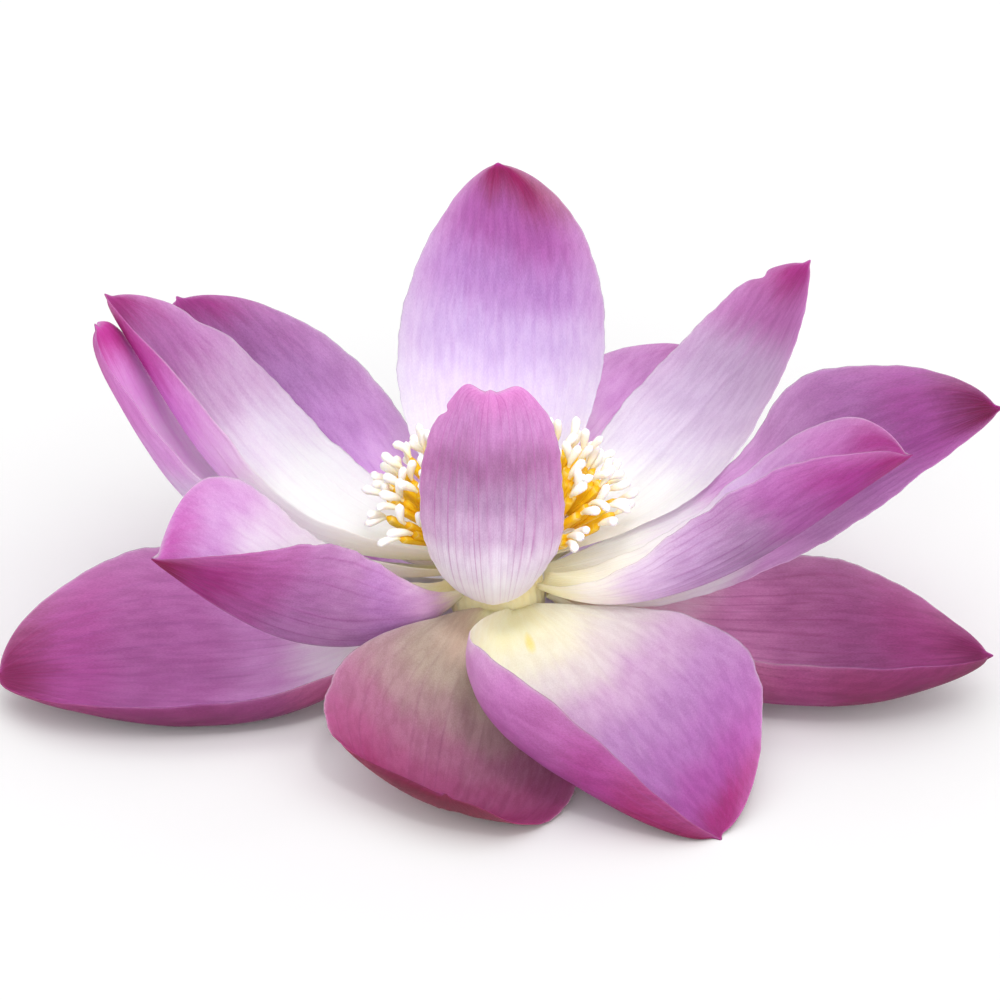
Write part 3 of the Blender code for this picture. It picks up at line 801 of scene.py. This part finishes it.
FILAMENT_LOOK = ((0.0, "E9E2A6"), (0.4, "F7F3DC"), (1.0, "F6E6E0"))
ANTHER_LOOK = ((0.0, "EFA800"), (0.25, "F8BE00"), (0.8, "FACA10"), (1.0, "FAE296"))
CLUB_LOOK = ((0.0, "F5E2A0"), (0.22, "FBF4DC"), (0.7, "FFFCF4"), (1.0, "FFFEFA"))
stamen_materials = [
    flesh_material("filament", FILAMENT_LOOK, 1.0, 0.5, 0.4),
    flesh_material("anther", ANTHER_LOOK, 5.0, 0.62, 0.25),
    flesh_material("anther_club", CLUB_LOOK, 9.0, 0.4, 0.5)]

sector = 360 / TUFTS
for tuft in range(TUFTS):
    rng = np.random.default_rng(100 + tuft)
    first = tuft * sector + TUFT_GAP_ANGLE / 2
    last = first + sector - TUFT_GAP_ANGLE
    grown = [tuft_foot(first, last)]
    shares = (np.arange(STAMENS_IN_TUFT) + 0.5) / STAMENS_IN_TUFT
    for share, slot_share in zip(rng.permutation(shares), shares):
        azimuth = first + 1.5 + (last - first - 3) * slot_share + rng.uniform(-1, 1)
        lean = LEAST_LEAN + (MOST_LEAN - LEAST_LEAN) * share ** 0.8
        foot_radius = FOOT_MIDDLE[0] + (share - 0.5) * FOOT_HALF_SIZE[0] * 1.4
        grown.append(stamen(azimuth, foot_radius, lean, rng))
    count = 0
    all_faces = []
    for points, faces, _, _ in grown:
        all_faces += [tuple(k + count for k in found) for found in faces]
        count += len(points)
    all_points = np.concatenate([piece[0] for piece in grown])
    all_kinds = [kind for piece in grown for kind in piece[2]]
    all_places = np.concatenate([piece[3] for piece in grown])
    name = f"stamens_{tuft + 1}"
    tuft_obj = add_mesh(f"lotus_{name}", all_points, all_faces, all_kinds, stamen_materials,
                        [("along", all_places)])
    dress(tuft_obj, name)


# ---------------------------------------------------------------------------------------------
# Receptacle and stalk


def turned(profile, segments, spacing, carve):
    """A round closed piece from (radius, height) corners, bottom centre to top centre.

    carve(radius, height, turn, travel) gives the shift outward and the shift upward at each point.
    """
    corners = np.array(profile, float)
    reach = np.concatenate([[0], np.cumsum(np.linalg.norm(np.diff(corners, axis=0), axis=1))])
    travel = np.arange(spacing, reach[-1] - spacing / 2, spacing)
    radius = np.interp(travel, reach, corners[:, 0])
    height = np.interp(travel, reach, corners[:, 1])
    for _ in range(2):
        radius[1:-1] = (radius[:-2] + 2 * radius[1:-1] + radius[2:]) / 4
        height[1:-1] = (height[:-2] + 2 * height[1:-1] + height[2:]) / 4
    turn = np.arange(segments) * 2 * math.pi / segments
    radius, height, turn, travel = np.broadcast_arrays(
        radius[:, None], height[:, None], turn[None], travel[:, None])
    outward, upward = carve(radius, height, turn, travel)
    radius = radius + outward
    points = np.stack([radius * np.cos(turn), radius * np.sin(turn), height + upward], 2)
    ends = np.array([(0, 0, points[0, :, 2].mean()), (0, 0, points[-1, :, 2].mean())])
    vertices = np.concatenate([points.reshape(-1, 3), ends])
    rows = len(points)
    faces = []
    for i in range(rows - 1):
        for j in range(segments):
            after = (j + 1) % segments
            low = i * segments
            faces.append((low + j, low + after, low + segments + after, low + segments + j))
    bottom = rows * segments
    top = bottom - segments
    for j in range(segments):
        after = (j + 1) % segments
        faces.append((bottom, after, j))
        faces.append((bottom + 1, top + j, top + after))
    return vertices, faces


RECEPTACLE_TOP = 50.0
SHOULDER_HEIGHT = 49.2
TOP_RADIUS = 10.9
RECEPTACLE_CORNERS = (
    (0.0, RECEPTACLE_BOTTOM), (4.6, RECEPTACLE_BOTTOM), (8.2, 18.0), (10.0, 20.0), (10.5, 22.0),
    (10.5, 25.0), (10.0, 28.0), (9.0, 31.0), (8.0, 33.5), (8.0, 36.5), (8.8, 41.0), (10.4, 46.0),
    (11.4, 49.0), (11.0, RECEPTACLE_TOP), (0.0, RECEPTACLE_TOP))
CARPEL_RINGS = ((1, 0.0, 0.0), (6, 4.3, 0.2), (12, 8.3, 0.05))  # how many, radius, turn
CARPELS = [
    (radius * math.cos(turn + 2 * math.pi * k / count), radius * math.sin(turn + 2 * math.pi * k / count))
    for count, radius, turn in CARPEL_RINGS for k in range(count)]
CUP_RADIUS = 1.45
KNOB_RADIUS = 0.72


def to_carpel(x, y):
    """Distance to the nearest carpel."""
    return np.min([np.hypot(x - cx, y - cy) for cx, cy in CARPELS], axis=0)


def carve_receptacle(radius, height, turn, travel):
    on_top = np.clip((height - 49.7) / 0.2, 0, 1) * np.clip((TOP_RADIUS - radius) / 0.5, 0, 1)
    side = np.clip((height - 37) / 3, 0, 1) * np.clip((SHOULDER_HEIGHT - height) / 1.5, 0, 1)
    ribs = 0.16 * np.cos(26 * turn + 0.6 * np.sin(3 * turn)) + 0.10 * np.sin(11 * turn + 1)
    scars = 0.12 * np.cos(30 * turn) * np.clip((height - 19) / 2, 0, 1) * np.clip((33 - height) / 2, 0, 1)
    away = to_carpel(radius * np.cos(turn), radius * np.sin(turn))
    brim = 0.28 * np.exp(-((away - CUP_RADIUS) / 0.3) ** 2)
    cup = -0.55 / (1 + np.exp((away - CUP_RADIUS + 0.25) / 0.09))
    knob = 1.0 * np.sqrt(np.clip(1 - (away / KNOB_RADIUS) ** 2, 0, 1))
    dimple = -0.25 * np.exp(-(away / 0.2) ** 2)
    pillow = 0.15 * np.sin(radius * 1.5) * np.cos(turn * 5)
    return ribs * side + scars, on_top * (brim + cup + knob + dimple + pillow)


vertices, faces = turned(RECEPTACLE_CORNERS, 240, 0.17, carve_receptacle)
middles = np.array([np.mean([vertices[k] for k in corner[:3]], axis=0) for corner in faces])
top_faces = (middles[:, 2] > SHOULDER_HEIGHT) & (np.hypot(middles[:, 0], middles[:, 1]) < TOP_RADIUS)
knob_faces = top_faces & (to_carpel(middles[:, 0], middles[:, 1]) < KNOB_RADIUS + 0.05)
kinds = np.where(knob_faces, 2, np.where(top_faces, 1, 0))
climb = (vertices[:, 2] - RECEPTACLE_BOTTOM) / (RECEPTACLE_TOP - RECEPTACLE_BOTTOM)
SIDE_LOOK = (
    (0.0, "BFC47C"), (0.14, "E4DFA8"), (0.25, "F6EDBC"), (0.55, "F6E9A6"), (0.8, "E2D870"),
    (1.0, "CCC44C"))
TOP_LOOK = ((0.0, "D8CC50"), (0.9, "DCD05A"), (0.97, "C6C04C"), (1.0, "E4DA74"))
KNOB_LOOK = ((0.9, "A98A20"), (0.97, "D8B23A"), (1.0, "EBD070"))
receptacle_materials = [
    flesh_material("receptacle_side", SIDE_LOOK, 2.0, 0.45, 0.2),
    flesh_material("receptacle_top", TOP_LOOK, 6.0, 0.5, 0.2),
    flesh_material("stigma", KNOB_LOOK, 8.0, 0.35, 0.2)]
receptacle_obj = add_mesh(
    "lotus_receptacle", vertices, faces, kinds, receptacle_materials, [("along", climb)])
dress(receptacle_obj, "receptacle")

STALK_CUT_HEIGHT = 3.5
STALK_TOP = RECEPTACLE_BOTTOM - 0.3
STALK_CORNERS = (
    (0.0, STALK_CUT_HEIGHT), (4.7, STALK_CUT_HEIGHT), (4.8, STALK_CUT_HEIGHT + 0.2),
    (4.5, 7.0), (4.4, STALK_TOP - 0.2), (4.2, STALK_TOP), (0.0, STALK_TOP))
CANALS = ((4, 1.75, 0.95, 0.4), (8, 3.55, 0.42, 0.1), (1, 0.0, 0.28, 0.0))  # how many, radius, size, turn
PRICKLE_COUNT = 70
PRICKLE_RADIUS = 0.42
PRICKLE_HEIGHT = 0.35
prickle_rng = np.random.default_rng(40)
PRICKLES = [
    (prickle_rng.uniform(0, 2 * math.pi), height) for height in np.linspace(4.6, 14.8, PRICKLE_COUNT)]


def carve_stalk(radius, height, turn, travel):
    outward = 0.05 * np.cos(22 * turn) + 0.04 * np.sin(7 * turn + height)
    on_side = np.clip((radius - 4.2) / 0.15, 0, 1) * np.clip((height - STALK_CUT_HEIGHT - 0.2) / 0.5, 0, 1)
    prickles = np.zeros(np.shape(turn))
    for prickle_turn, prickle_height in PRICKLES:
        apart = np.abs((turn - prickle_turn + math.pi) % (2 * math.pi) - math.pi) * radius
        away = np.hypot(apart, height - prickle_height)
        prickles = np.maximum(prickles, np.clip(1 - away / PRICKLE_RADIUS, 0, 1))
    on_cut = np.clip((4.6 - radius) / 0.3, 0, 1) * (travel < 5)
    depth = np.zeros(np.shape(turn))
    for count, ring, size, start in CANALS:
        for k in range(count):
            place = start + 2 * math.pi * k / count
            away = np.hypot(radius * np.cos(turn) - ring * math.cos(place),
                            radius * np.sin(turn) - ring * math.sin(place))
            depth = np.maximum(depth, 1.8 / (1 + np.exp((away - size) / 0.06)))
    fibres = 0.05 * np.cos(turn * 9 + radius * 5)
    return (outward + PRICKLE_HEIGHT * prickles) * on_side, on_cut * (depth + fibres)


vertices, faces = turned(STALK_CORNERS, 160, 0.14, carve_stalk)
middles = np.array([np.mean([vertices[k] for k in corner[:3]], axis=0) for corner in faces])
cut_faces = (middles[:, 2] < STALK_CUT_HEIGHT + 2.2) & (np.hypot(middles[:, 0], middles[:, 1]) < 4.45)
climb = (vertices[:, 2] - STALK_CUT_HEIGHT) / (STALK_TOP - STALK_CUT_HEIGHT)
STALK_LOOK = ((0.0, "7E9150"), (0.3, "8AA05A"), (0.7, "95A866"), (1.0, "B4B87C"))
CUT_LOOK = ((0.0, "D9DDB2"), (0.06, "C6CC94"), (0.15, "7F8A50"))
stalk_materials = [
    flesh_material("stalk_skin", STALK_LOOK, 3.0, 0.42, 0.15),
    flesh_material("stalk_cut", CUT_LOOK, 4.0, 0.55, 0.3)]
stalk_obj = add_mesh(
    "lotus_stalk", vertices, faces, cut_faces.astype(int), stalk_materials, [("along", climb)])
dress(stalk_obj, "stalk")


# ---------------------------------------------------------------------------------------------
# Studio

CAMERA_TARGET = (0.5, 0.0, 47.0)
CAMERA_ELEVATION = 25.0
CAMERA_DISTANCE = 700.0
CAMERA_LENS = 114.55

elevation = math.radians(CAMERA_ELEVATION)
target = Vector(ORIGIN) + Vector(CAMERA_TARGET) * MM
camera_data = bpy.data.cameras.new("camera")
camera_data.lens = CAMERA_LENS
camera_data.clip_start = 0.01
camera = bpy.data.objects.new("camera", camera_data)
back = Vector((0, -math.cos(elevation), math.sin(elevation)))
camera.location = target + back * CAMERA_DISTANCE * MM
camera.rotation_mode = "QUATERNION"
camera.rotation_quaternion = (-back).to_track_quat("-Z", "Y")
bpy.context.scene.collection.objects.link(camera)
bpy.context.scene.camera = camera

FLOOR_HALF = 3.0
FLOOR_COLOUR = "FEFEFE"
FLOOR_ROUGHNESS = 0.9
WORLD_STRENGTH = 0.64
floor_mesh = bpy.data.meshes.new("floor")
floor_mesh.from_pydata(
    [(-FLOOR_HALF, -FLOOR_HALF, 0), (FLOOR_HALF, -FLOOR_HALF, 0),
     (FLOOR_HALF, FLOOR_HALF, 0), (-FLOOR_HALF, FLOOR_HALF, 0)], [], [(0, 1, 2, 3)])
floor = bpy.data.objects.new("floor", floor_mesh)
bpy.context.scene.collection.objects.link(floor)
paint = Nodes("floor_paint")
paint.set(Base_Color=colour(FLOOR_COLOUR), Roughness=FLOOR_ROUGHNESS)
paint.shader.inputs["Specular IOR Level"].default_value = 0.0
floor_mesh.materials.append(paint.material)

world = bpy.data.worlds.new("studio")
world.use_nodes = True
world.node_tree.nodes["Background"].inputs["Color"].default_value = (1, 1, 1, 1)
world.node_tree.nodes["Background"].inputs["Strength"].default_value = WORLD_STRENGTH
bpy.context.scene.world = world
bpy.context.scene.view_settings.view_transform = "Standard"

LIGHTS = (  # name, where it shines from, how wide it looks in degrees, strength
    ("key", (0.35, -1.0, 0.95), 70.0, 0.75),
    ("top", (0.1, 0.1, 1.0), 80.0, 0.62),
    ("fill", (-0.1, -1.0, 0.48), 25.0, 0.4),
)
for name, place, width, strength in LIGHTS:
    light_data = bpy.data.lights.new(name, "SUN")
    light_data.angle = math.radians(width)
    light_data.energy = strength
    light = bpy.data.objects.new(name, light_data)
    light.rotation_mode = "QUATERNION"
    light.rotation_quaternion = Vector(place).to_track_quat("Z", "Y")
    bpy.context.scene.collection.objects.link(light)

# A soft lamp above the camera that picks out the pale middle of the flower.
LAMP_TARGET = (4.0, 2.0, 36.0)
LAMP_FROM = (0.1, -0.68, 0.9)
LAMP_DISTANCE = 380.0
LAMP_RADIUS = 45.0
LAMP_CONE = 22.0
LAMP_POWER = 3.2

lamp_data = bpy.data.lights.new("lamp", "SPOT")
lamp_data.energy = LAMP_POWER
lamp_data.spot_size = math.radians(LAMP_CONE)
lamp_data.spot_blend = 1.0
lamp_data.shadow_soft_size = LAMP_RADIUS * MM
lamp = bpy.data.objects.new("lamp", lamp_data)
toward = Vector(LAMP_FROM).normalized()
lamp.location = Vector(ORIGIN) + (Vector(LAMP_TARGET) + toward * LAMP_DISTANCE) * MM
lamp.rotation_mode = "QUATERNION"
lamp.rotation_quaternion = toward.to_track_quat("Z", "Y")
bpy.context.scene.collection.objects.link(lamp)
